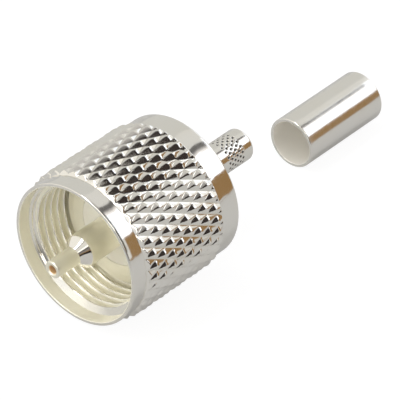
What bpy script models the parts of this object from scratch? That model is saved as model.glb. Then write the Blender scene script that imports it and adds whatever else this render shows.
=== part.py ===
"""Cable plug with a threaded coupling nut, lying on its nut, with its crimp ferrule taken off behind it.

Metres, +Z up. The plug's axis lies along X, with the mating end towards -X. Every axial station is measured
from the coupling nut's front rim towards the cable end, and x_at() turns a station into a world X.
"""

import math

import bmesh
import bpy
from mathutils import Matrix, Vector

# Clearances
PRESS_GAP = 0.00005
NUT_RUNNING_GAP = 0.0002
FLANGE_SIDE_GAP = 0.00035
NUT_FLOAT = 0.0030
BRAID_ROOM = 0.00074

# Coupling nut, outside
NUT_LENGTH = 0.0174
KNURL_R = 0.00925
KNURL_DEPTH = 0.0003
KNURL_COUNT = 42
KNURL_HELIX = math.radians(25.7)
KNURL_BEVEL_LENGTH = 0.0005
KNURL_BEVEL_DROP = 0.00006
FRONT_BAND_DROP = 0.00055
FRONT_BAND_LENGTH = 0.0021
REAR_BAND_DROP = 0.00045
REAR_BAND_LENGTH = 0.0028
RIM_EDGE = 0.00012
REAR_EDGE = 0.0003

# Coupling nut, inside
LIP_WALL = 0.00045
LEAD_IN_LENGTH = 0.0020
THREAD_WALL = 0.0013
THREAD_LENGTH = 0.0053
RELIEF_DEPTH = 0.0006
RELIEF_LENGTH = 0.0010
REAR_WALL = 0.0049

# Connector body
MATING_RIM_DROP = 0.0011
MATING_RIM_STEP = 0.0003
FLANGE_LENGTH = 0.0029
NOTCH_COUNT = 4
NOTCH_ANGLE = math.radians(37)
NOTCH_CENTRE = math.radians(42.5)
NOTCH_DEPTH = 0.0010
NOTCH_LEDGE = 0.0001
BARREL_DROP = 0.00155
BARREL_WALL = 0.00095
BARREL_BEHIND_NUT = 0.0010
STEM_R = 0.00201
STEM_LENGTH = 0.0095
STEM_WALL = 0.0005
BODY_EDGE = 0.00015

# Insulator
INSULATOR_LENGTH = 0.0071

# Centre contact
PIN_R = 0.00198
PIN_REACH = 0.00988
NOSE_R = 0.00105
NOSE_LENGTH = 0.0034
CONE_LENGTH = 0.00105
PIN_BORE_R = 0.0005
PIN_MOUTH_FLARE = 0.00018
PIN_SEAT_DEPTH = 0.0018
TAIL_R = 0.0014

# Crimp ferrule, taken off and lying behind the plug
FERRULE_WALL = 0.0004
FERRULE_LENGTH = 0.0130
FERRULE_EDGE = 0.00012
FERRULE_AWAY = 0.0105
FERRULE_ASIDE = 0.0012

# Facets round each turned shape
BODY_STEPS = 64
CONTACT_STEPS = 40
FERRULE_STEPS = 48

# Radii that follow from the sizes, from the knurl inwards
AXIS_HEIGHT = KNURL_R
FRONT_BAND_R = KNURL_R - FRONT_BAND_DROP
REAR_BAND_R = KNURL_R - REAR_BAND_DROP
LEAD_IN_R = FRONT_BAND_R - LIP_WALL
THREAD_BORE_R = FRONT_BAND_R - THREAD_WALL
RELIEF_R = THREAD_BORE_R + RELIEF_DEPTH
FLANGE_R = THREAD_BORE_R - FLANGE_SIDE_GAP
MATING_RIM_R = FLANGE_R - MATING_RIM_DROP
BARREL_R = FLANGE_R - BARREL_DROP
NUT_HOLE_R = BARREL_R + NUT_RUNNING_GAP
SEAT_R = BARREL_R - BARREL_WALL
INSULATOR_R = SEAT_R - PRESS_GAP
PIN_MOUTH_R = PIN_BORE_R + PIN_MOUTH_FLARE
FERRULE_R = STEM_R + BRAID_ROOM + FERRULE_WALL

# Stations that follow from the sizes
NUT_SHOULDER = NUT_LENGTH - REAR_WALL
FLANGE_REAR = NUT_SHOULDER - NUT_FLOAT
FLANGE_FRONT = FLANGE_REAR - FLANGE_LENGTH
BODY_FRONT = FLANGE_FRONT - MATING_RIM_STEP
BARREL_END = NUT_LENGTH + BARREL_BEHIND_NUT
STEM_END = BARREL_END + STEM_LENGTH
INSULATOR_END = BODY_FRONT + INSULATOR_LENGTH
PIN_TIP = BODY_FRONT - PIN_REACH
FERRULE_START = STEM_END + FERRULE_AWAY
FERRULE_END = FERRULE_START + FERRULE_LENGTH
MIDDLE = (PIN_TIP + FERRULE_END) / 2


def x_at(station):
    """World X of an axial station, with the part's middle over the origin."""
    return station - MIDDLE


def clear_scene():
    for obj in list(bpy.data.objects):
        bpy.data.objects.remove(obj, do_unlink=True)


def new_collection(name):
    collection = bpy.data.collections.new(name)
    bpy.context.scene.collection.children.link(collection)
    return collection


def new_material(name, colour, roughness, metallic):
    material = bpy.data.materials.new(name)
    material.use_nodes = True
    shader = material.node_tree.nodes["Principled BSDF"]
    shader.inputs["Base Color"].default_value = (*colour, 1.0)
    shader.inputs["Roughness"].default_value = roughness
    shader.inputs["Metallic"].default_value = metallic
    material.diffuse_color = (*colour, 1.0)
    return material


def rounded(radius, station, edge, start, steps=3):
    """Points of a quarter circle round a corner's centre, as (radius, station), turning back from start."""
    points = []
    for step in range(steps + 1):
        angle = start - math.radians(90) * step / steps
        points.append((radius + edge * math.cos(angle), station + edge * math.sin(angle)))
    return points


def object_from(bm, name, collection, material):
    mesh = bpy.data.meshes.new(name)
    bm.to_mesh(mesh)
    bm.free()
    mesh.materials.append(material)
    obj = bpy.data.objects.new(name, mesh)
    collection.objects.link(obj)
    return obj


def lay_along_x(obj, aside=0.0, height=AXIS_HEIGHT):
    """Turns local +Z to world +X, with the nut's front rim at its station."""
    obj.rotation_euler = (0.0, math.radians(90), 0.0)
    obj.location = (x_at(0.0), aside, height)


def shade_round(mesh, sharp=math.radians(25)):
    mesh.shade_smooth()
    mesh.set_sharp_from_angle(angle=sharp)


def turned(name, profile, steps, collection, material):
    """A solid of revolution: a closed (radius, station) profile swept round the local Z axis."""
    bm = bmesh.new()
    verts = [bm.verts.new((radius, 0.0, station)) for radius, station in profile]
    for first, second in zip(verts, verts[1:] + verts[:1]):
        bm.edges.new((first, second))
    obj = object_from(bm, name, collection, material)
    screw = obj.modifiers.new("turn", "SCREW")
    screw.axis = "Z"
    screw.angle = math.radians(360)
    screw.steps = steps
    screw.render_steps = steps
    screw.use_merge_vertices = True
    screw.merge_threshold = 0.000001
    screw.use_smooth_shade = True
    return obj


def knurl_stations():
    """Front and rear of the knurled band and the number of half diamonds along it."""
    front = FRONT_BAND_LENGTH + KNURL_BEVEL_LENGTH
    rear = NUT_LENGTH - REAR_BAND_LENGTH - KNURL_BEVEL_LENGTH
    half_pitch = math.pi * KNURL_R / KNURL_COUNT / math.tan(KNURL_HELIX)
    return front, rear, max(2, round((rear - front) / half_pitch))


def nut_profile():
    """Closed (radius, station) outline of the nut's wall, with one point for each row of the knurl."""
    front, rear, rows = knurl_stations()
    thread_end = LEAD_IN_LENGTH + THREAD_LENGTH
    relief_end = thread_end + RELIEF_LENGTH
    points = [(NUT_HOLE_R + BODY_EDGE, NUT_LENGTH)]
    points += rounded(REAR_BAND_R - REAR_EDGE, NUT_LENGTH - REAR_EDGE, REAR_EDGE, math.radians(90))
    points.append((REAR_BAND_R, NUT_LENGTH - REAR_BAND_LENGTH))
    points += [(KNURL_R, rear + (front - rear) * row / rows) for row in range(rows + 1)]
    points.append((FRONT_BAND_R, FRONT_BAND_LENGTH))
    points += rounded(FRONT_BAND_R - RIM_EDGE, RIM_EDGE, RIM_EDGE, math.radians(0))
    points += [
        (LEAD_IN_R + RIM_EDGE, 0.0),
        (LEAD_IN_R, RIM_EDGE),
        (LEAD_IN_R, LEAD_IN_LENGTH - (LEAD_IN_R - THREAD_BORE_R) / 2),
        (THREAD_BORE_R, LEAD_IN_LENGTH),
        (THREAD_BORE_R, thread_end),
        (RELIEF_R, thread_end + RELIEF_LENGTH / 4),
        (RELIEF_R, relief_end - RELIEF_LENGTH / 4),
        (THREAD_BORE_R, relief_end),
        (THREAD_BORE_R, NUT_SHOULDER),
        (NUT_HOLE_R, NUT_SHOULDER),
        (NUT_HOLE_R, NUT_LENGTH - BODY_EDGE),
    ]
    return points


def press_knurl(bm, columns):
    """Presses crossing grooves into the band: every other point of each row drops to the groove's bottom, and
    each facet splits along its groove, which leaves rows of pointed pyramids."""
    front, rear, rows = knurl_stations()
    half_pitch = (rear - front) / rows
    grooves = set()
    band = set()
    for vert in bm.verts:
        radius = math.hypot(vert.co.x, vert.co.y)
        row = round((vert.co.z - front) / half_pitch)
        on_row = abs(vert.co.z - front - row * half_pitch) < half_pitch / 100
        if radius < (KNURL_R + FRONT_BAND_R) / 2 or not on_row or not 0 <= row <= rows:
            continue
        band.add(vert)
        column = round(math.atan2(vert.co.y, vert.co.x) / (2 * math.pi / columns))
        target = KNURL_R
        if (row + column) % 2 == 0:
            grooves.add(vert)
            target = KNURL_R - KNURL_DEPTH
        elif row in (0, rows):
            target = KNURL_R - KNURL_BEVEL_DROP
        vert.co.x *= target / radius
        vert.co.y *= target / radius
    for face in list(bm.faces):
        low = [vert for vert in face.verts if vert in grooves]
        if len(face.verts) == 4 and len(low) == 2 and all(vert in band for vert in face.verts):
            bmesh.utils.face_split(face, low[0], low[1])


def make_coupling_nut(collection, material):
    columns = 2 * KNURL_COUNT
    bm = bmesh.new()
    verts = [bm.verts.new((radius, 0.0, station)) for radius, station in nut_profile()]
    edges = [bm.edges.new(pair) for pair in zip(verts, verts[1:] + verts[:1])]
    bmesh.ops.spin(
        bm,
        geom=verts + edges,
        cent=(0.0, 0.0, 0.0),
        axis=(0.0, 0.0, 1.0),
        angle=math.radians(360),
        steps=columns,
        use_merge=True,
    )
    bmesh.ops.recalc_face_normals(bm, faces=bm.faces)
    press_knurl(bm, columns)
    nut = object_from(bm, "coupling_nut", collection, material)
    shade_round(nut.data)
    lay_along_x(nut)
    return nut


def make_notch_cutter(index, collection, material):
    """A sector that runs out past the flange's edge and front face, and leaves the mating rim whole."""
    inner = MATING_RIM_R + NOTCH_LEDGE
    outer = FLANGE_R + NOTCH_DEPTH
    low = BODY_FRONT - MATING_RIM_STEP
    high = FLANGE_FRONT + NOTCH_DEPTH
    bm = bmesh.new()
    corners = [(inner, 0.0, low), (outer, 0.0, low), (outer, 0.0, high), (inner, 0.0, high)]
    face = bm.faces.new([bm.verts.new(corner) for corner in corners])
    bmesh.ops.spin(
        bm,
        geom=[face],
        cent=(0.0, 0.0, 0.0),
        axis=(0.0, 0.0, 1.0),
        angle=NOTCH_ANGLE,
        steps=6,
    )
    turn = NOTCH_CENTRE - NOTCH_ANGLE / 2 + 2 * math.pi * index / NOTCH_COUNT
    bmesh.ops.transform(bm, matrix=Matrix.Rotation(turn, 4, Vector((0.0, 0.0, 1.0))), verts=bm.verts)
    bmesh.ops.recalc_face_normals(bm, faces=bm.faces)
    cutter = object_from(bm, f"notch_cutter_{index}", collection, material)
    cutter.hide_render = True
    cutter.display_type = "WIRE"
    lay_along_x(cutter)
    return cutter


def make_connector_body(collection, cutters, material):
    """One turned piece: mating rim, notched flange, barrel that carries the nut, and hollow crimp stem."""
    stem_bore = STEM_R - STEM_WALL
    stem_edge = STEM_WALL * 0.7
    seat_end = INSULATOR_END + PRESS_GAP
    profile = [(stem_bore, STEM_END)]
    profile += rounded(STEM_R - stem_edge, STEM_END - stem_edge, stem_edge, math.radians(90), steps=4)
    profile += [
        (STEM_R, BARREL_END),
        (BARREL_R - 2 * BODY_EDGE, BARREL_END),
        (BARREL_R, BARREL_END - 2 * BODY_EDGE),
        (BARREL_R, FLANGE_REAR),
        (FLANGE_R - BODY_EDGE, FLANGE_REAR),
        (FLANGE_R, FLANGE_REAR - BODY_EDGE),
        (FLANGE_R, FLANGE_FRONT + BODY_EDGE),
        (FLANGE_R - BODY_EDGE, FLANGE_FRONT),
        (MATING_RIM_R, FLANGE_FRONT),
        (MATING_RIM_R, BODY_FRONT + BODY_EDGE / 2),
        (MATING_RIM_R - BODY_EDGE / 2, BODY_FRONT),
        (SEAT_R, BODY_FRONT),
        (SEAT_R, seat_end),
        (stem_bore, seat_end),
    ]
    body = turned("connector_body", profile, BODY_STEPS, collection, material)
    lay_along_x(body)
    for index in range(NOTCH_COUNT):
        notch = body.modifiers.new(f"notch_{index}", "BOOLEAN")
        notch.operation = "DIFFERENCE"
        notch.solver = "EXACT"
        notch.object = make_notch_cutter(index, cutters, material)
    return body


def make_insulator(collection, material):
    """Bush between body and centre contact, counterbored for the contact's shoulder."""
    counterbore_end = BODY_FRONT + PIN_SEAT_DEPTH + PRESS_GAP
    profile = [
        (TAIL_R + PRESS_GAP, INSULATOR_END),
        (INSULATOR_R - BODY_EDGE, INSULATOR_END),
        (INSULATOR_R, INSULATOR_END - BODY_EDGE),
        (INSULATOR_R, BODY_FRONT),
        (PIN_R + PRESS_GAP, BODY_FRONT),
        (PIN_R + PRESS_GAP, counterbore_end),
        (TAIL_R + PRESS_GAP, counterbore_end),
    ]
    insulator = turned("insulator", profile, BODY_STEPS, collection, material)
    lay_along_x(insulator)
    return insulator


def make_centre_contact(collection, material):
    """Stepped hollow pin: the cable's core comes out through the nose, where it is soldered."""
    nose_end = PIN_TIP + NOSE_LENGTH
    shoulder = BODY_FRONT + PIN_SEAT_DEPTH
    tip_edge = (NOSE_R - PIN_MOUTH_R) / 2
    mouth_depth = PIN_MOUTH_R - PIN_BORE_R
    profile = [
        (PIN_BORE_R, INSULATOR_END),
        (TAIL_R, INSULATOR_END),
        (TAIL_R, shoulder),
        (PIN_R, shoulder),
        (PIN_R, nose_end + CONE_LENGTH),
        (NOSE_R, nose_end),
    ]
    profile += rounded(NOSE_R - tip_edge, PIN_TIP + tip_edge, tip_edge, math.radians(0))
    profile += [
        (PIN_MOUTH_R, PIN_TIP),
        (PIN_BORE_R, PIN_TIP + mouth_depth),
    ]
    contact = turned("center_contact", profile, CONTACT_STEPS, collection, material)
    lay_along_x(contact)
    return contact


def make_crimp_ferrule(collection, material):
    """Thin plain tube, lying on the same surface as the nut, behind the plug and a little to its side."""
    bore = FERRULE_R - FERRULE_WALL
    profile = [(bore + FERRULE_EDGE, FERRULE_END)]
    profile += rounded(FERRULE_R - FERRULE_EDGE, FERRULE_END - FERRULE_EDGE, FERRULE_EDGE, math.radians(90))
    profile += rounded(FERRULE_R - FERRULE_EDGE, FERRULE_START + FERRULE_EDGE, FERRULE_EDGE, math.radians(0))
    profile += [
        (bore + FERRULE_EDGE, FERRULE_START),
        (bore, FERRULE_START + FERRULE_EDGE),
        (bore, FERRULE_END - FERRULE_EDGE),
    ]
    ferrule = turned("crimp_ferrule", profile, FERRULE_STEPS, collection, material)
    lay_along_x(ferrule, aside=FERRULE_ASIDE, height=FERRULE_R)
    return ferrule


def main():
    clear_scene()
    parts = new_collection("uhf_connector")
    cutters = new_collection("cutters")
    plated = new_material("plated_nut", (0.80, 0.79, 0.75), 0.22, 1.0)
    body_plate = new_material("plated_body", (0.82, 0.79, 0.68), 0.20, 1.0)
    contact_plate = new_material("plated_contact", (0.83, 0.80, 0.69), 0.16, 1.0)
    ferrule_plate = new_material("plated_ferrule", (0.79, 0.78, 0.74), 0.24, 1.0)
    white_resin = new_material("white_resin", (0.86, 0.85, 0.80), 0.5, 0.0)
    make_coupling_nut(parts, plated)
    make_connector_body(parts, cutters, body_plate)
    make_insulator(parts, white_resin)
    make_centre_contact(parts, contact_plate)
    make_crimp_ferrule(parts, ferrule_plate)


main()
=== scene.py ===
import math

import bmesh
import bpy
import numpy as np
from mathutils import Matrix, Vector


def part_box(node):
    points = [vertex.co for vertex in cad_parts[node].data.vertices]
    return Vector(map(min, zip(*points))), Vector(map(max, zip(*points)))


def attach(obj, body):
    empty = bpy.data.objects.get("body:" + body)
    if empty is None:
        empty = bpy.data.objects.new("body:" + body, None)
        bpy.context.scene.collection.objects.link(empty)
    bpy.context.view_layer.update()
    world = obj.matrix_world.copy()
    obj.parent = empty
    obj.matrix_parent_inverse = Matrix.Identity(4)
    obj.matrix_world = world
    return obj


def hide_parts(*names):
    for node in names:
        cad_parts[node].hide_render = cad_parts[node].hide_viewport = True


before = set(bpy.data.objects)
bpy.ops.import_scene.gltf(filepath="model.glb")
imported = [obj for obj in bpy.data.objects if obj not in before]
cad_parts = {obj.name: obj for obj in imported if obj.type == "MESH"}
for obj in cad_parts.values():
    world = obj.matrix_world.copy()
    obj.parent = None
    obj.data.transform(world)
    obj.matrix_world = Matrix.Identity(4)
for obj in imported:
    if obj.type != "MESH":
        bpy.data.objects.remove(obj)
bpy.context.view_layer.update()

MM = 0.001
TURN = 2 * math.pi
SHARP_ANGLE = math.radians(34)

# Where the CAD has the two axes: the plug's, and the loose ferrule's
nut_low, nut_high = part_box("coupling_nut")
ferrule_low, ferrule_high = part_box("crimp_ferrule")
FRONT = nut_low.x
AXIS = (0.0, (nut_low.z + nut_high.z) / 2)
FERRULE_AXIS = ((ferrule_low.y + ferrule_high.y) / 2, (ferrule_low.z + ferrule_high.z) / 2)

# The pieces' sizes are in mm, and stations along the axis run from the nut's front rim
# Coupling nut
NUT_LENGTH = 17.4
RIM_EDGE = 0.12
REAR_EDGE = 0.3
HOLE_EDGE = 0.15
BAND_R = 8.7
BAND_END = 2.1
REAR_BAND_R = 8.8
REAR_BAND_START = 14.6
KNURL_R = 9.25
KNURL_FRONT = 2.42
KNURL_REAR = 14.28
KNURL_COUNT = 39
# Rows and columns in half a tooth
KNURL_FINE = 8
# Repeat of the grooves along the axis, and how many teeth the rows turn in each mm
KNURL_PITCH = 2.905
KNURL_SKEW = 0.0268
# Each family's depth, how hollow its sides are, and how far they reach as shares of the spacing
LONG_DEPTH = 0.42
LONG_SHAPE = 1.15
LONG_SIDES = (0.48, 0.52)
CROSS_DEPTH = 0.335
CROSS_SHAPE = 1.15
CROSS_SIDES = (0.42, 0.42)
# How far the edges between the grooves, and between grooves and bevels, are rounded
KNURL_BLEND = 0.07
BEVEL_BLEND = 0.12
# Where the pattern starts: in teeth round the nut, and along it
KNURL_PHASE = -0.6875
KNURL_START = 2.18
LEAD_IN_R = 8.25
LEAD_IN_END = 1.575
BORE_R = 7.4
THREAD_START = 2.0
THREAD_END = 7.3
THREAD_PITCH = 25.4 / 24
THREAD_DEPTH = 0.55
# Half the crest's flat and one flank, as shares of the pitch, and how much of the flank is rounded
THREAD_CREST = 0.07
THREAD_FLANK = 0.30
THREAD_ROUND = 0.6
THREAD_ROWS = 13
RELIEF_R = 8.0
RELIEF_SLOPE = 0.25
RELIEF_END = THREAD_END + 1.0
NUT_SHOULDER = 12.5
NUT_HOLE_R = 5.7

# Connector body
RIM_R = 5.95
BODY_FRONT = 6.3
FLANGE_FRONT = 6.6
FLANGE_REAR = 9.5
FLANGE_R = 7.05
BARREL_R = 5.5
BARREL_END = 18.4
BODY_EDGE = 0.15
STEM_R = 2.01
STEM_END = 27.9
STEM_EDGE = 0.35
STEM_FOOT = 0.1
STEM_FACE_R = 2.6
STEM_BORE_R = 1.51
STEM_PITS = 18
STEM_PIT_REPEAT = 0.9
STEM_PITS_START = 23.8
STEM_PITS_END = 26.2
STEM_PITS_MARGIN = 0.25
STEM_PITS_FADE = 0.2
STEM_PITS_ROWS = 59
STEM_GROOVE_EDGE = 0.42
STEM_GROOVE_DEPTH = 0.025
STEM_PIT_DEPTH = 0.15
STEM_PIT_FLOOR = 1.5
SEAT_R = 4.55
SEAT_END = 13.45
NOTCHES = 4
NOTCH_ANGLE = 37.0
NOTCH_CENTRE = 42.5
NOTCH_FLOOR = 7.6

# Centre contact
PIN_R = 1.98
PIN_TIP = -3.58
NOSE_END = -0.18
CONE_END = 0.87
NOSE_R = 1.05
PIN_BORE_R = 0.5
PIN_MOUTH_R = 0.68
PIN_MIDDLE = 5.0
NOSE_MIDDLE = -1.2
PIN_SHOULDER = 8.1
TAIL_R = 1.4
TAIL_END = 13.4

# Ferrule
FERRULE_R = 3.15
FERRULE_BORE_R = 2.75
FERRULE_EDGE = 0.12

# Colours: plate and its warm haze, then plate with frost for plug and ferrule, whose yellower, lighter colour
# is painted warm light bounced inside the mouth and bores, and what shows through it
PLATE = (0.950, 0.930, 0.880)
HAZE = (0.940, 0.910, 0.838)
FROST_BOUNCE_TINT = (0.985, 0.96, 0.83)
PALE_FROST_BOUNCE_TINT = (0.99, 0.97, 0.92)
BRASS = (0.80, 0.56, 0.30)
# Near-black painted shade for the bottoms of the stem's pits
PIT_SHADE = (0.045, 0.035, 0.032)
RESIN = (0.96, 0.94, 0.85)
RESIN_SHADED = (0.94, 0.91, 0.81)

# Lathe marks sway by this share of how far they lie aside of the axis
LATHE_SWAY = 0.02

# Studio, in metres and degrees
CARD_RADIUS = 0.5
CARD_STEP = 4
CARD_LIFT = 0.0005
FLOOR_HALF = 3
# The floor's own colour, what metal and glass see mixed with it, and the white that the camera sees with it
PAPER = (0.8, 0.8, 0.8)
PAPER_MIRRORED = (0.36, 0.36, 0.36)
PAPER_MIRRORED_SHARE = 0.5
BACKGROUND = 1.12
BACKGROUND_SHARE = 0.82
WORLD_LIGHT = 0.6
WORLD_SEEN = 1.0
CAMERA_PLACE = (-0.247103, -0.212111, 0.241393)
CAMERA_AIM = (-0.012463, -0.008164, 0.014293)
CAMERA_LENS = 318.9


def corner(radius, station, edge, start, steps):
    """Quarter circle round a corner's centre, as (station, radius), turning back from start degrees."""
    points = []
    for step in range(steps + 1):
        angle = math.radians(start - 90 * step / steps)
        points.append((station + edge * math.sin(angle), radius + edge * math.cos(angle)))
    return points


def line(first, second, steps):
    """Points from first up to, but without, second."""
    return [
        (first[0] + (second[0] - first[0]) * k / steps, first[1] + (second[1] - first[1]) * k / steps)
        for k in range(steps)
    ]


def plain_rows(points, columns):
    return [(np.full(columns, s), np.full(columns, r)) for s, r in points]


def skin(name, rows, origin, axis, splits=None):
    """Closed skin of rings round an axis along X. Each row holds a station and a radius for each of its
    columns, and may hold how far it is turned; a neighbour may have half or twice as many columns. Column 0
    is at the bottom and the columns run towards +Y. Splits says, by row, which way its quads are cut."""
    splits = splits or {}
    verts, starts = [], []
    for stations, radii, *turned in rows:
        starts.append(len(verts))
        turn = (np.arange(len(stations)) / len(stations) + sum(turned)) * TURN
        xs = origin + stations * MM
        ys = axis[0] + radii * MM * np.sin(turn)
        zs = axis[1] - radii * MM * np.cos(turn)
        verts.extend(zip(xs.tolist(), ys.tolist(), zs.tolist()))
    faces = []
    for index in range(len(rows)):
        following = (index + 1) % len(rows)
        here, there = len(rows[index][0]), len(rows[following][0])
        a, b = starts[index], starts[following]
        if here == there:
            rising = splits.get(index)
            for j in range(here):
                k = (j + 1) % here
                if rising is None:
                    faces.append((a + j, a + k, b + k, b + j))
                elif rising[j]:
                    faces += [(a + j, a + k, b + k), (a + j, b + k, b + j)]
                else:
                    faces += [(a + j, a + k, b + j), (a + k, b + k, b + j)]
        elif here == 2 * there:
            for j in range(there):
                k = (j + 1) % there
                fine = (a + 2 * j, a + 2 * j + 1, a + (2 * j + 2) % here)
                faces += [(fine[0], fine[1], b + j), (fine[1], b + k, b + j), (fine[1], fine[2], b + k)]
        else:
            for j in range(here):
                k = (j + 1) % here
                fine = (b + 2 * j, b + 2 * j + 1, b + (2 * j + 2) % there)
                faces += [(a + j, fine[1], fine[0]), (a + j, a + k, fine[1]), (a + k, fine[2], fine[1])]
    mesh = bpy.data.meshes.new(name)
    mesh.from_pydata(verts, [], faces)
    return finish_mesh(name, mesh)


def add(name, data):
    obj = bpy.data.objects.new(name, data)
    bpy.context.scene.collection.objects.link(obj)
    return obj


def finish_mesh(name, mesh):
    bm = bmesh.new()
    bm.from_mesh(mesh)
    bmesh.ops.recalc_face_normals(bm, faces=bm.faces)
    bm.to_mesh(mesh)
    bm.free()
    mesh.shade_smooth()
    mesh.set_sharp_from_angle(angle=SHARP_ANGLE)
    return add(name, mesh)


def dress(obj, body, node, material):
    obj.data.materials.clear()
    obj.data.materials.append(material)
    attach(obj, body)
    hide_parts(node)


def groove_terms(turns, stations, count, repeat, phase, start, sides=((0.5, 0.5), (0.5, 0.5))):
    """How near each point lies to two crossing families of grooves, first those that turn back towards the
    cable and then those that turn on: 1 in a groove, 0 beyond its sides, which are shares of the spacing."""
    around = turns * count + phase
    along = (stations - start) / repeat
    terms = []
    for value, (before, after) in zip((around + along, around - along), sides):
        off = value - np.round(value)
        terms.append(np.clip(1 - np.where(off < 0, -off / before, off / after), 0, 1))
    return terms


def blended_max(a, b, width):
    """The larger of two heights, rounded where they are within width of each other."""
    return np.maximum(a, b) + width / 4 * np.clip(1 - np.abs(a - b) / width, 0, None) ** 2


def knurled_row(station, columns):
    """Deep grooves one way with rounded ridges between them, notched by shallower grooves the other way, and
    a bevel at each end of the band. The rows turn a little from front to rear, because the grooves that cross
    the ridges run at a smaller angle to the axis than the deep ones."""
    turns = np.arange(columns) / columns
    stations = np.full(columns, station)
    sides = (CROSS_SIDES, LONG_SIDES)
    cross, long = groove_terms(turns, stations, KNURL_COUNT, KNURL_PITCH, KNURL_PHASE, KNURL_START, sides)
    cut = blended_max(LONG_DEPTH * long ** LONG_SHAPE, CROSS_DEPTH * cross ** CROSS_SHAPE, KNURL_BLEND)
    domed = KNURL_R - cut
    front = BAND_R + (KNURL_R - BAND_R) * (station - BAND_END) / (KNURL_FRONT - BAND_END)
    rise = (REAR_BAND_START - station) / (REAR_BAND_START - KNURL_REAR)
    rear = REAR_BAND_R + (KNURL_R - REAR_BAND_R) * rise
    turned = KNURL_SKEW * (station - (KNURL_FRONT + KNURL_REAR) / 2) / KNURL_COUNT
    return stations, -blended_max(-domed, np.full(columns, -min(front, rear)), BEVEL_BLEND), turned


def knurl_splits(first, second, columns):
    """True where the quads between two rows of the knurl split towards the next column."""
    turns = (np.arange(columns) + 0.5) / columns
    middle = np.full(columns, (first + second) / 2)
    a, b = groove_terms(turns, middle, KNURL_COUNT, KNURL_PITCH, KNURL_PHASE, KNURL_START)
    return (b > a) == (second > first)


def knurl_stations():
    """Rows of the knurl from its rear bevel to its front one, on the grooves' own grid, closer on the
    bevels."""
    step = KNURL_PITCH / 2 / KNURL_FINE
    first = math.ceil((BAND_END + step / 4 - KNURL_START) / step)
    last = math.floor((REAR_BAND_START - step / 4 - KNURL_START) / step)
    stations = [BAND_END, REAR_BAND_START]
    for row in range(first, last + 1):
        station = KNURL_START + row * step
        stations.append(station)
        if station < KNURL_FRONT or station > KNURL_REAR - step:
            stations.append(min(station + step / 2, REAR_BAND_START - step / 8))
    return sorted(stations, reverse=True)


def bore_radius(station):
    """The nut's bore without its thread, from the lead-in to the shoulder."""
    knots = [
        (RIM_EDGE, LEAD_IN_R),
        (LEAD_IN_END, LEAD_IN_R),
        (THREAD_START, BORE_R),
        (THREAD_END, BORE_R),
        (THREAD_END + RELIEF_SLOPE, RELIEF_R),
        (RELIEF_END - RELIEF_SLOPE, RELIEF_R),
        (RELIEF_END, BORE_R),
        (NUT_SHOULDER, BORE_R),
    ]
    return float(np.interp(station, [k[0] for k in knots], [k[1] for k in knots]))


def threaded_row(station, columns):
    """Right-handed internal thread: its ridge moves rearwards as it turns from the bottom towards +Y."""
    turns = np.arange(columns) / columns
    value = (station - THREAD_START) / THREAD_PITCH - turns
    away = np.abs(value - np.round(value))
    rise = np.clip((away - THREAD_CREST) / THREAD_FLANK, 0, 1)
    rise = rise * rise * (3 - 2 * rise) * THREAD_ROUND + rise * (1 - THREAD_ROUND)
    radius = BORE_R + THREAD_DEPTH * rise
    return np.full(columns, station), np.maximum(radius, bore_radius(station))


def make_nut():
    columns = 2 * KNURL_COUNT * KNURL_FINE
    face_r = REAR_BAND_R - REAR_EDGE
    edge_start = NUT_LENGTH - REAR_EDGE
    rows = plain_rows(line((NUT_LENGTH, NUT_HOLE_R + HOLE_EDGE), (NUT_LENGTH, face_r), 6), columns)
    rows += plain_rows(corner(face_r, edge_start, REAR_EDGE, 90, 5), columns)
    rows += plain_rows(line((edge_start, REAR_BAND_R), (REAR_BAND_START, REAR_BAND_R), 3)[1:], columns)
    stations = knurl_stations()
    splits = {}
    for index, station in enumerate(stations):
        if index + 1 < len(stations):
            splits[len(rows)] = knurl_splits(station, stations[index + 1], columns)
        rows.append(knurled_row(station, columns))
    rows += plain_rows(line((BAND_END, BAND_R), (RIM_EDGE, BAND_R), 3)[1:], columns)
    rows += plain_rows(corner(BAND_R - RIM_EDGE, RIM_EDGE, RIM_EDGE, 0, 4), columns)
    half = columns // 2
    rows += plain_rows(corner(LEAD_IN_R + RIM_EDGE, RIM_EDGE, RIM_EDGE, -90, 3), half)
    rows += plain_rows(line((RIM_EDGE, LEAD_IN_R), (LEAD_IN_END, LEAD_IN_R), 3)[1:], half)
    fine_rows = round((RELIEF_END - LEAD_IN_END) / THREAD_PITCH * THREAD_ROWS)
    for station in np.linspace(LEAD_IN_END, RELIEF_END, fine_rows + 1):
        if station < THREAD_END + RELIEF_SLOPE:
            rows.append(threaded_row(station, half))
        else:
            rows += plain_rows([(station, bore_radius(station))], half)
    rows += plain_rows(line((RELIEF_END, BORE_R), (NUT_SHOULDER, BORE_R), 4)[1:], half)
    shoulder = [(NUT_SHOULDER, BORE_R), (NUT_SHOULDER, NUT_HOLE_R), (NUT_LENGTH - HOLE_EDGE, NUT_HOLE_R)]
    rows += plain_rows(shoulder, half)
    return skin("nut_shell", rows, FRONT, AXIS, splits)


def stem_row(station, radius, columns):
    """Light crossed knurl pressed into the crimp stem, which shows as a pit where its grooves cross."""
    turns = np.arange(columns) / columns
    stations = np.full(columns, station)
    a, b = groove_terms(turns, stations, STEM_PITS, STEM_PIT_REPEAT, 0.0, STEM_PITS_START)
    first, second = (np.clip((term - STEM_GROOVE_EDGE) / (1 - STEM_GROOVE_EDGE), 0, 1) for term in (a, b))
    grooves = STEM_GROOVE_DEPTH * np.maximum(first, second)
    pits = STEM_PIT_DEPTH * np.clip(first * second * STEM_PIT_FLOOR, 0, 1)
    past = max(STEM_PITS_START - station, station - STEM_PITS_END, 0.0)
    fade = max(0.0, 1 - past / STEM_PITS_FADE)
    return stations, radius - (grooves + pits) * fade


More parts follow.
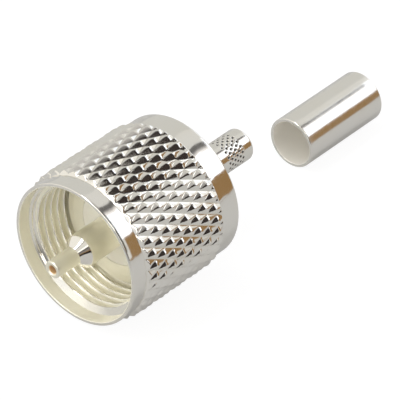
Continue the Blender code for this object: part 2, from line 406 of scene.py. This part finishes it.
def make_body():
    columns = 288
    edge = BODY_EDGE
    points = corner(STEM_R - STEM_EDGE, STEM_END - STEM_EDGE, STEM_EDGE, 90, 8)
    rows = plain_rows([(STEM_END, STEM_BORE_R)] + points, columns)
    pits_rear, pits_front = STEM_PITS_END + STEM_PITS_MARGIN, STEM_PITS_START - STEM_PITS_MARGIN
    for station in np.linspace(pits_rear, pits_front, STEM_PITS_ROWS):
        rows.append(stem_row(station, STEM_R, columns))
    rows += plain_rows([(BARREL_END + STEM_FOOT, STEM_R)], columns)
    rows += plain_rows([(BARREL_END, STEM_R + STEM_FOOT)], columns)
    rows += plain_rows(line((BARREL_END, STEM_FACE_R), (BARREL_END, BARREL_R - 2 * edge), 3), columns)
    rows += plain_rows(corner(BARREL_R - 2 * edge, BARREL_END - 2 * edge, 2 * edge, 90, 4), columns)
    rows += plain_rows([(FLANGE_REAR, BARREL_R)], columns)
    rows += plain_rows(corner(FLANGE_R - edge, FLANGE_REAR - edge, edge, 90, 3), columns)
    rows += plain_rows(corner(FLANGE_R - edge, FLANGE_FRONT + edge, edge, 0, 3), columns)
    rows += plain_rows([(FLANGE_FRONT, RIM_R)], columns)
    rows += plain_rows(corner(RIM_R - edge / 2, BODY_FRONT + edge / 2, edge / 2, 0, 3), columns)
    rows += plain_rows([(BODY_FRONT, SEAT_R), (SEAT_END, SEAT_R), (SEAT_END, STEM_BORE_R)], columns)
    body = skin("plug_body", rows, FRONT, AXIS)
    for index in range(NOTCHES):
        cutter = make_notch_cutter(index)
        cut = body.modifiers.new("notch", "BOOLEAN")
        cut.operation = "DIFFERENCE"
        cut.solver = "EXACT"
        cut.object = cutter
        bpy.context.view_layer.update()
        evaluated = body.evaluated_get(bpy.context.evaluated_depsgraph_get())
        carved = bpy.data.meshes.new_from_object(evaluated)
        body.modifiers.clear()
        body.data = carved
        bpy.data.objects.remove(cutter, do_unlink=True)
    carved.name = "plug_body"
    carved.shade_smooth()
    carved.set_sharp_from_angle(angle=SHARP_ANGLE)
    return body


def make_notch_cutter(index):
    """Wedge of a ring that stands past the flange's front and rim, for one of its notches."""
    inner, outer = RIM_R + 0.1, FLANGE_R + 1.0
    low, high = BODY_FRONT - 0.3, NOTCH_FLOOR
    steps = 12
    bm = bmesh.new()
    rings = []
    for step in range(steps + 1):
        turn = math.radians(NOTCH_CENTRE + index * 360 / NOTCHES + NOTCH_ANGLE * (step / steps - 0.5))
        ring = []
        for s, r in ((low, inner), (low, outer), (high, outer), (high, inner)):
            ring.append(bm.verts.new((
                FRONT + s * MM, AXIS[0] + r * MM * math.sin(turn), AXIS[1] - r * MM * math.cos(turn))))
        rings.append(ring)
    for first, second in zip(rings, rings[1:]):
        for k in range(4):
            bm.faces.new((first[k], first[(k + 1) % 4], second[(k + 1) % 4], second[k]))
    bm.faces.new(rings[0])
    bm.faces.new(rings[-1])
    bmesh.ops.recalc_face_normals(bm, faces=bm.faces)
    mesh = bpy.data.meshes.new("notch")
    bm.to_mesh(mesh)
    bm.free()
    return add("notch", mesh)


def make_contact():
    """Stepped hollow pin: tail, main pin, cone with both its edges eased, nose, and bore."""
    columns = 96
    tip = (NOSE_R - PIN_MOUTH_R) / 2
    points = [(TAIL_END, PIN_BORE_R), (TAIL_END, TAIL_R), (PIN_SHOULDER, TAIL_R), (PIN_SHOULDER, PIN_R)]
    points += line((PIN_MIDDLE, PIN_R), (CONE_END, PIN_R), 3)
    points += [(CONE_END + 0.03, PIN_R), (CONE_END - 0.02, PIN_R - 0.02)]
    points += line((CONE_END - 0.05, PIN_R - 0.045), (NOSE_END + 0.03, NOSE_R + 0.03), 4)
    points += [(NOSE_END + 0.03, NOSE_R + 0.03), (NOSE_END - 0.04, NOSE_R)]
    points += line((NOSE_MIDDLE, NOSE_R), (PIN_TIP + tip, NOSE_R), 2)
    points += corner(NOSE_R - tip, PIN_TIP + tip, tip, 0, 6)
    points += [(PIN_TIP, PIN_MOUTH_R), (PIN_TIP + 0.06, PIN_MOUTH_R - 0.06)]
    points += [(PIN_TIP + PIN_MOUTH_R - PIN_BORE_R, PIN_BORE_R), (0.0, PIN_BORE_R)]
    return skin("contact_pin", plain_rows(points, columns), FRONT, AXIS)


def make_ferrule():
    columns = 160
    start = (ferrule_low.x - FRONT) / MM
    end = (ferrule_high.x - FRONT) / MM
    edge = FERRULE_EDGE
    points = corner(FERRULE_R - edge, end - edge, edge, 90, 5)
    points += line((end - edge, FERRULE_R), (start + edge, FERRULE_R), 8)[1:]
    points += corner(FERRULE_R - edge, start + edge, edge, 0, 5)
    points += corner(FERRULE_BORE_R + edge, start + edge, edge, -90, 5)
    points += line((start + edge, FERRULE_BORE_R), (end - edge, FERRULE_BORE_R), 8)[1:]
    points += corner(FERRULE_BORE_R + edge, end - edge, edge, 180, 5)
    return skin("ferrule_tube", plain_rows(points, columns), FRONT, FERRULE_AXIS)


class Shade:
    """A short way to write a material's nodes."""

    def __init__(self, name):
        self.material = bpy.data.materials.new(name)
        self.material.use_nodes = True
        self.tree = self.material.node_tree
        self.surface = self.tree.nodes["Principled BSDF"]

    def node(self, kind, **inputs):
        made = self.tree.nodes.new(kind)
        for key, value in inputs.items():
            self.feed(made.inputs[key], value)
        return made

    def feed(self, socket, value):
        if isinstance(value, bpy.types.NodeSocket):
            self.tree.links.new(value, socket)
        else:
            socket.default_value = value

    def math(self, operation, *values):
        made = self.tree.nodes.new("ShaderNodeMath")
        made.operation = operation
        for socket, value in zip(made.inputs, values):
            self.feed(socket, value)
        return made.outputs[0]

    def noise(self, vector, scale, detail=3.0, roughness=0.5):
        inputs = {"Vector": vector, "Scale": scale, "Detail": detail, "Roughness": roughness}
        return self.node("ShaderNodeTexNoise", **inputs).outputs["Fac"]

    def spread(self, value, low, high, start=0.3, end=0.7):
        """Runs from low, where value is start or less, to high, where it is end or more."""
        made = self.node("ShaderNodeMapRange")
        for socket, number in zip(made.inputs, (value, start, end, low, high)):
            self.feed(socket, number)
        return made.outputs[0]

    def around(self, place, axis):
        """Place split into X, how far it lies aside of the axis and below it, and its distance from it."""
        split = self.node("ShaderNodeSeparateXYZ", Vector=place)
        y = self.math("SUBTRACT", split.outputs[1], axis[0])
        below = self.math("SUBTRACT", axis[1], split.outputs[2])
        squares = self.math("ADD", self.math("MULTIPLY", y, y), self.math("MULTIPLY", below, below))
        return split.outputs[0], y, below, self.math("SQRT", squares)

    def turned(self, axis):
        """The place, coordinates that hardly change round the axis, so that noise gives lathe marks, and the
        place's X and distance from the axis."""
        place = self.node("ShaderNodeTexCoord").outputs["Object"]
        x, y, _, away = self.around(place, axis)
        rings = self.node("ShaderNodeCombineXYZ", X=x, Y=away, Z=self.math("MULTIPLY", y, LATHE_SWAY))
        return place, rings.outputs[0], x, away

    def station(self, x):
        return self.math("DIVIDE", self.math("SUBTRACT", x, FRONT), MM)

    def mix(self, factor, first, second):
        made = self.node("ShaderNodeMix")
        made.data_type = "RGBA"
        self.feed(made.inputs["Factor"], factor)
        self.feed(made.inputs[6], first)
        self.feed(made.inputs[7], second)
        return made.outputs[2]

    def bump(self, height, strength, distance, below=None):
        made = self.node("ShaderNodeBump", Height=height, Strength=strength, Distance=distance)
        if below is not None:
            self.feed(made.inputs["Normal"], below)
        return made.outputs["Normal"]


def plated(name, axis, rough, satin_and_bounce, frost, frost_and_bounce_colour=FROST_BOUNCE_TINT, shaded_pits=False, bare=None):
    """Bright silver plate over turned brass: lathe marks, faint ripple in the plate and a slight warm haze.
    Satin gives the share of plate under frost at a station and a distance from the axis, both in mm, and
    frost says how metallic that plate is and how much rougher. That plate's yellower, lighter colour is
    painted warm light bounced inside the mouth and bores. Nearer to the axis than bare, in mm, brass shows."""
    shade = Shade(name)
    place, rings, x, away = shade.turned(axis)
    shade.surface.inputs["Metallic"].default_value = 1.0
    haze = shade.spread(shade.noise(place, scale=260.0, detail=4.0, roughness=0.55), 0.0, 1.0, 0.35, 0.75)
    colour = shade.mix(haze, (*PLATE, 1.0), (*HAZE, 1.0))
    # Painted shade: a near-black colour at the bottoms of the stem's pits
    if shaded_pits:
        colour = shade.mix(painted_pit_shade(shade, place, axis), colour, (*PIT_SHADE, 1.0))
    # Plate with frost: rougher, and its yellower colour is painted warm light bounced inside the mouth and
    # bores
    share = satin_and_bounce(shade, shade.station(x), shade.math("DIVIDE", away, MM))
    colour = shade.mix(share, colour, (*frost_and_bounce_colour, 1.0))
    metallic = shade.spread(share, 1.0, frost[0], 0.0, 1.0)
    if bare:
        inner = shade.spread(away, 1.0, 0.0, bare * MM, (bare + 0.04) * MM)
        colour = shade.mix(inner, colour, (*BRASS, 1.0))
        metallic = shade.math("MULTIPLY", metallic, shade.math("SUBTRACT", 1.0, inner))
    shade.feed(shade.surface.inputs["Metallic"], metallic)
    shade.feed(shade.surface.inputs["Base Color"], colour)
    smear = shade.noise(place, scale=900.0, detail=3.0, roughness=0.6)
    fine = shade.noise(rings, scale=9000.0, detail=2.0, roughness=0.6)
    mixed = shade.math("ADD", shade.math("MULTIPLY", smear, 0.6), shade.math("MULTIPLY", fine, 0.4))
    roughness = shade.spread(mixed, rough * 0.75, rough * 1.35)
    roughness = shade.math("ADD", roughness, shade.math("MULTIPLY", share, frost[1]))
    shade.feed(shade.surface.inputs["Roughness"], roughness)
    wavy = shade.noise(place, scale=620.0, detail=2.0, roughness=0.5)
    ripple = shade.bump(wavy, strength=0.1, distance=0.000006)
    lines = shade.bump(fine, strength=0.2, distance=0.000002, below=ripple)
    shade.feed(shade.surface.inputs["Normal"], lines)
    return shade.material


def painted_pit_shade(shade, place, axis):
    """1 at the bottom of each pit of the stem's knurl, where near-black shade is painted in, and 0 outside
    the pits.
    """
    x, y, below, away = shade.around(place, axis)
    station = shade.station(x)
    around = shade.math("MULTIPLY", shade.math("ARCTAN2", y, below), STEM_PITS / TURN)
    along = shade.math("DIVIDE", shade.math("SUBTRACT", station, STEM_PITS_START), STEM_PIT_REPEAT)
    depth = 1.0
    for operation in ("ADD", "SUBTRACT"):
        off = shade.math("PINGPONG", shade.math(operation, around, along), 0.5)
        depth = shade.math("MULTIPLY", depth, shade.spread(off, 1.0, 0.0, start=0.16, end=0.3))
    middle = (STEM_PITS_START + STEM_PITS_END) / 2
    off = shade.math("ABSOLUTE", shade.math("SUBTRACT", station, middle))
    inside = shade.math("LESS_THAN", off, (STEM_PITS_END - STEM_PITS_START) / 2 + 0.1)
    outer = shade.math("GREATER_THAN", away, (STEM_BORE_R + STEM_R) / 2 * MM)
    return shade.math("MULTIPLY", depth, shade.math("MULTIPLY", inside, outer))


# These masks place the plate with frost, whose yellower colour is painted warm light bounced inside the mouth
# and bores
def nut_satin_and_bounce(shade, station, away):
    """All of the bore, but less of the thread's crests and its chamfer, which shine more."""
    inside = shade.spread(away, 1.0, 0.0, LEAD_IN_R + 0.05, LEAD_IN_R + 0.2)
    crest = shade.spread(away, 0.35, 1.0, BORE_R + 0.03, BORE_R + 0.15)
    off = shade.math("ABSOLUTE", shade.math("SUBTRACT", station, (LEAD_IN_END + THREAD_START) / 2))
    chamfer = shade.spread(off, 0.25, 1.0, 0.2, 0.26)
    return shade.math("MULTIPLY", inside, shade.math("MULTIPLY", crest, chamfer))


def body_satin_and_bounce(shade, station, away):
    """The flange and the mating rim, but not the barrel and the stem."""
    return shade.spread(station, 1.0, 0.0, FLANGE_REAR, FLANGE_REAR + 0.1)


def contact_satin_and_bounce(shade, station, away):
    """All of the pin but its cone."""
    off = shade.math("ABSOLUTE", shade.math("SUBTRACT", station, (NOSE_END + CONE_END) / 2))
    return shade.spread(off, 0.0, 1.0, (CONE_END - NOSE_END) / 2, (CONE_END - NOSE_END) / 2 + 0.06)


def ferrule_satin_and_bounce(shade, station, away):
    """Only the bore."""
    return shade.spread(away, 1.0, 0.0, FERRULE_BORE_R + 0.02, FERRULE_BORE_R + 0.12)


def resin(name, axis):
    """Turned white fluoropolymer: waxy, with soft lathe rings and a faint mottle."""
    shade = Shade(name)
    place, rings, _, _ = shade.turned(axis)
    mottle = shade.spread(shade.noise(place, scale=700.0, detail=4.0, roughness=0.6), 0.0, 1.0)
    shade.feed(shade.surface.inputs["Base Color"], shade.mix(mottle, (*RESIN, 1.0), (*RESIN_SHADED, 1.0)))
    fine = shade.noise(rings, scale=7000.0, detail=2.0, roughness=0.5)
    shade.feed(shade.surface.inputs["Roughness"], shade.spread(fine, 0.32, 0.5))
    shade.surface.inputs["Subsurface Weight"].default_value = 0.15
    shade.surface.inputs["Subsurface Radius"].default_value = (1.0, 0.9, 0.7)
    shade.surface.inputs["Subsurface Scale"].default_value = 0.0006
    shade.feed(shade.surface.inputs["Normal"], shade.bump(fine, strength=0.3, distance=0.000006))
    return shade.material


def glow(name, colour, strength):
    material = bpy.data.materials.new(name)
    material.use_nodes = True
    tree = material.node_tree
    tree.nodes.clear()
    light = tree.nodes.new("ShaderNodeEmission")
    light.inputs["Color"].default_value = (*colour, 1.0)
    light.inputs["Strength"].default_value = strength
    out = tree.nodes.new("ShaderNodeOutputMaterial")
    tree.links.new(light.outputs[0], out.inputs["Surface"])
    return material


def card(name, verts, faces, colour, strength):
    """A surface that only lights and is mirrored: the camera doesn't see it."""
    mesh = bpy.data.meshes.new(name)
    mesh.from_pydata(verts, [], faces)
    obj = add(name, mesh)
    mesh.materials.append(glow(name, colour, strength))
    obj.visible_camera = False
    obj.visible_shadow = False


def arc_card(name, start, end, x_low, x_high, colour, strength):
    """Part of a large cylinder round the plug's axis. Degrees run from straight up towards -Y."""
    steps = max(1, round(abs(end - start) / CARD_STEP))
    verts = []
    for step in range(steps + 1):
        angle = math.radians(start + (end - start) * step / steps)
        for x in (x_low, x_high):
            verts.append((x, -CARD_RADIUS * math.sin(angle), AXIS[1] + CARD_RADIUS * math.cos(angle)))
    faces = [(k, k + 1, k + 3, k + 2) for k in range(0, 2 * steps, 2)]
    card(name, verts, faces, colour, strength)


def floor_card(name, corners, colour, strength):
    card(name, [(x, y, CARD_LIFT) for x, y in corners], [(0, 1, 2, 3)], colour, strength)


def any_ray(tree, *kinds):
    """1 for a ray of any of the named kinds, else 0."""
    path = tree.nodes.new("ShaderNodeLightPath")
    found = path.outputs[kinds[0]]
    for kind in kinds[1:]:
        larger = tree.nodes.new("ShaderNodeMath")
        larger.operation = "MAXIMUM"
        tree.links.new(found, larger.inputs[0])
        tree.links.new(path.outputs[kind], larger.inputs[1])
        found = larger.outputs[0]
    return found


def make_floor():
    """White paper: it keeps a soft shadow, and the background that camera and metal see is its own colour."""
    corners = [(-FLOOR_HALF, -FLOOR_HALF, 0), (FLOOR_HALF, -FLOOR_HALF, 0), (FLOOR_HALF, FLOOR_HALF, 0),
               (-FLOOR_HALF, FLOOR_HALF, 0)]
    mesh = bpy.data.meshes.new("floor")
    mesh.from_pydata(corners, [], [(0, 1, 2, 3)])
    obj = add("floor", mesh)
    material = bpy.data.materials.new("white_paper")
    material.use_nodes = True
    tree = material.node_tree
    tree.nodes.clear()

    def blend(factor, first, second):
        made = tree.nodes.new("ShaderNodeMixShader")
        if isinstance(factor, float):
            made.inputs["Fac"].default_value = factor
        else:
            tree.links.new(factor, made.inputs["Fac"])
        tree.links.new(first.outputs[0], made.inputs[1])
        tree.links.new(second.outputs[0], made.inputs[2])
        return made

    paper = tree.nodes.new("ShaderNodeBsdfDiffuse")
    paper.inputs["Color"].default_value = (*PAPER, 1.0)
    seen = tree.nodes.new("ShaderNodeEmission")
    seen.inputs["Strength"].default_value = BACKGROUND
    mirrored = tree.nodes.new("ShaderNodeEmission")
    mirrored.inputs["Color"].default_value = (*PAPER_MIRRORED, 1.0)
    to_camera = blend(BACKGROUND_SHARE, paper, seen)
    to_metal = blend(PAPER_MIRRORED_SHARE, paper, mirrored)
    to_rest = blend(any_ray(tree, "Is Glossy Ray", "Is Transmission Ray"), paper, to_metal)
    picked = blend(any_ray(tree, "Is Camera Ray"), to_rest, to_camera)
    out = tree.nodes.new("ShaderNodeOutputMaterial")
    tree.links.new(picked.outputs[0], out.inputs["Surface"])
    mesh.materials.append(material)


def make_world():
    """Even white light, at full white where camera, metal or glass sees it."""
    world = bpy.data.worlds.new("studio")
    bpy.context.scene.world = world
    world.use_nodes = True
    tree = world.node_tree
    background = tree.nodes["Background"]
    background.inputs["Color"].default_value = (1.0, 1.0, 1.0, 1.0)
    strength = tree.nodes.new("ShaderNodeMapRange")
    strength.inputs["To Min"].default_value = WORLD_LIGHT
    strength.inputs["To Max"].default_value = WORLD_SEEN
    seen = any_ray(tree, "Is Camera Ray", "Is Glossy Ray", "Is Transmission Ray")
    tree.links.new(seen, strength.inputs["Value"])
    tree.links.new(strength.outputs[0], background.inputs["Strength"])


def make_studio():
    """Cards that the plate mirrors: a pale canopy overhead, a softbox on the near side, dark and brown cards
    below it, and more of them past the plug's end and in front of its mouth."""
    make_floor()
    make_world()
    pure = (1.0, 1.0, 1.0)
    white = (0.88, 0.92, 1.0)
    grey = (1.0, 0.995, 0.955)
    cool = (0.99, 0.98, 0.946)
    cream = (1.0, 0.975, 0.92)
    brown = (1.0, 0.607, 0.269)
    dusk = (1.0, 0.97, 0.95)
    gap = (1.0, 0.96, 0.94)
    dim = (1.0, 0.80, 0.76)
    seam = (1.0, 0.9, 0.8)
    black = (1.0, 0.75, 0.65)
    arc_card("canopy_back", -90, -22, 0.0, 0.66, grey, 0.61)
    arc_card("canopy_far", -90, -22, 0.66, 0.8, cool, 0.72)
    arc_card("canopy_top", -22, 7, 0.23, 0.49, cool, 0.70)
    arc_card("canopy_top_far", -22, 0, 0.49, 0.66, cool, 0.75)
    for start, end, strength in ((-22, -8, 0.56), (-8, 2, 0.48), (2, 9, 0.34), (9, 16, 0.17)):
        arc_card(f"dusk_{start + 22}", start, end, 0.0, 0.23, dusk, strength)
    arc_card("dark_side", 16, 91, 0.0, 0.12, dim, 0.036)
    arc_card("dark_edge", 16, 79, 0.12, 0.23, dim, 0.036)
    arc_card("pale_foot", 79, 92, 0.12, 0.23, cool, 0.70)
    arc_card("pale_edge", 61, 92, 0.23, 0.29, cool, 0.70)
    for start, end, strength in ((7, 15, 0.14), (15, 17, 0.35), (17, 19, 0.62), (19, 22, 0.92)):
        arc_card(f"gap_{start}", start, end, 0.23, 0.49, gap, strength)
    arc_card("softbox", 22, 61, 0.23, 0.49, white, 1.5)
    arc_card("softbox_far", 0, 61, 0.49, 0.66, white, 1.5)
    arc_card("lamp_far", -22, 26, 0.66, 0.8, white, 1.5)
    arc_card("wall_far", 26, 50, 0.66, 0.8, cool, 1.0)
    arc_card("brown_side", 61, 92, 0.29, 0.66, brown, 0.29)
    arc_card("brown_far", 50, 92, 0.66, 0.8, brown, 0.29)
    for name, start, end, colour, strength in (
        ("back", -90, -66, cool, 0.70), ("lamp", -66, -30, white, 1.35),
        ("mid", -30, -12, white, 1.1), ("top", -12, 26, cool, 0.95),
        ("wall", 26, 48, cool, 0.85), ("brown", 48, 76, brown, 0.29), ("foot", 76, 92, cool, 0.61),
    ):
        arc_card(f"end_{name}", start, end, 0.8, 2.2, colour, strength)
    for name, start, end, colour, strength in (
        ("sky", -90, -20, cream, 0.90), ("lamp", -20, -8, pure, 5.5), ("edge", -8, -3, cream, 1.0),
        ("seam", -3, 2, seam, 0.12), ("wall", 2, 33, cream, 0.75), ("window", 33, 46, cream, 1.3),
        ("frame", 46, 56, seam, 0.08), ("shelf", 56, 70, (1.0, 0.95, 0.9), 0.22),
        ("wood", 70, 76, (1.0, 0.61, 0.28), 0.33), ("dark", 76, 92, black, 0.02),
    ):
        arc_card(f"mouth_{name}", start, end, -0.8, 0.0, colour, strength)
    arc_card("mouth_far_roof", -90, -50, -1.6, -0.8, cream, 1.1)
    arc_card("mouth_far", -50, 92, -1.6, -0.8, cream, 2.7)
    # Painted shade: a near-black sheet on the floor before the mouth, which only reflections see
    corners = ((-0.25, -0.012), (-0.045, -0.012), (-0.045, 0.008), (-0.25, 0.008))
    floor_card("floor_shade_card", corners, black, 0.03)
    corners = ((0.06, -0.14), (0.8, -0.14), (0.8, -0.52), (0.17, -0.52))
    floor_card("brown_floor", corners, brown, 0.29)


def make_camera():
    data = bpy.data.cameras.new("camera")
    camera = add("camera", data)
    camera.location = CAMERA_PLACE
    camera.rotation_euler = (Vector(CAMERA_AIM) - camera.location).to_track_quat("-Z", "Y").to_euler()
    data.sensor_width = 36.0
    data.lens = CAMERA_LENS
    data.clip_start = 0.01
    bpy.context.scene.camera = camera


dress(make_nut(), "nut", "coupling_nut",
      plated("nut_plate", AXIS, 0.10, nut_satin_and_bounce, (0.5, 0.25)))
dress(make_body(), "plug", "connector_body",
      plated("body_plate", AXIS, 0.12, body_satin_and_bounce, (0.35, 0.25), shaded_pits=True))
dress(make_contact(), "plug", "center_contact",
      plated("contact_plate", AXIS, 0.10, contact_satin_and_bounce, (0.8, 0.2), bare=PIN_BORE_R + 0.02))
dress(make_ferrule(), "plug", "crimp_ferrule",
      plated("ferrule_plate", FERRULE_AXIS, 0.17, ferrule_satin_and_bounce, (0.35, 0.2), PALE_FROST_BOUNCE_TINT))
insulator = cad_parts["insulator"]
for socket in insulator.material_slots:
    socket.material = resin("turned_resin", AXIS)
make_studio()
make_camera()
bpy.context.scene.view_settings.view_transform = "Standard"
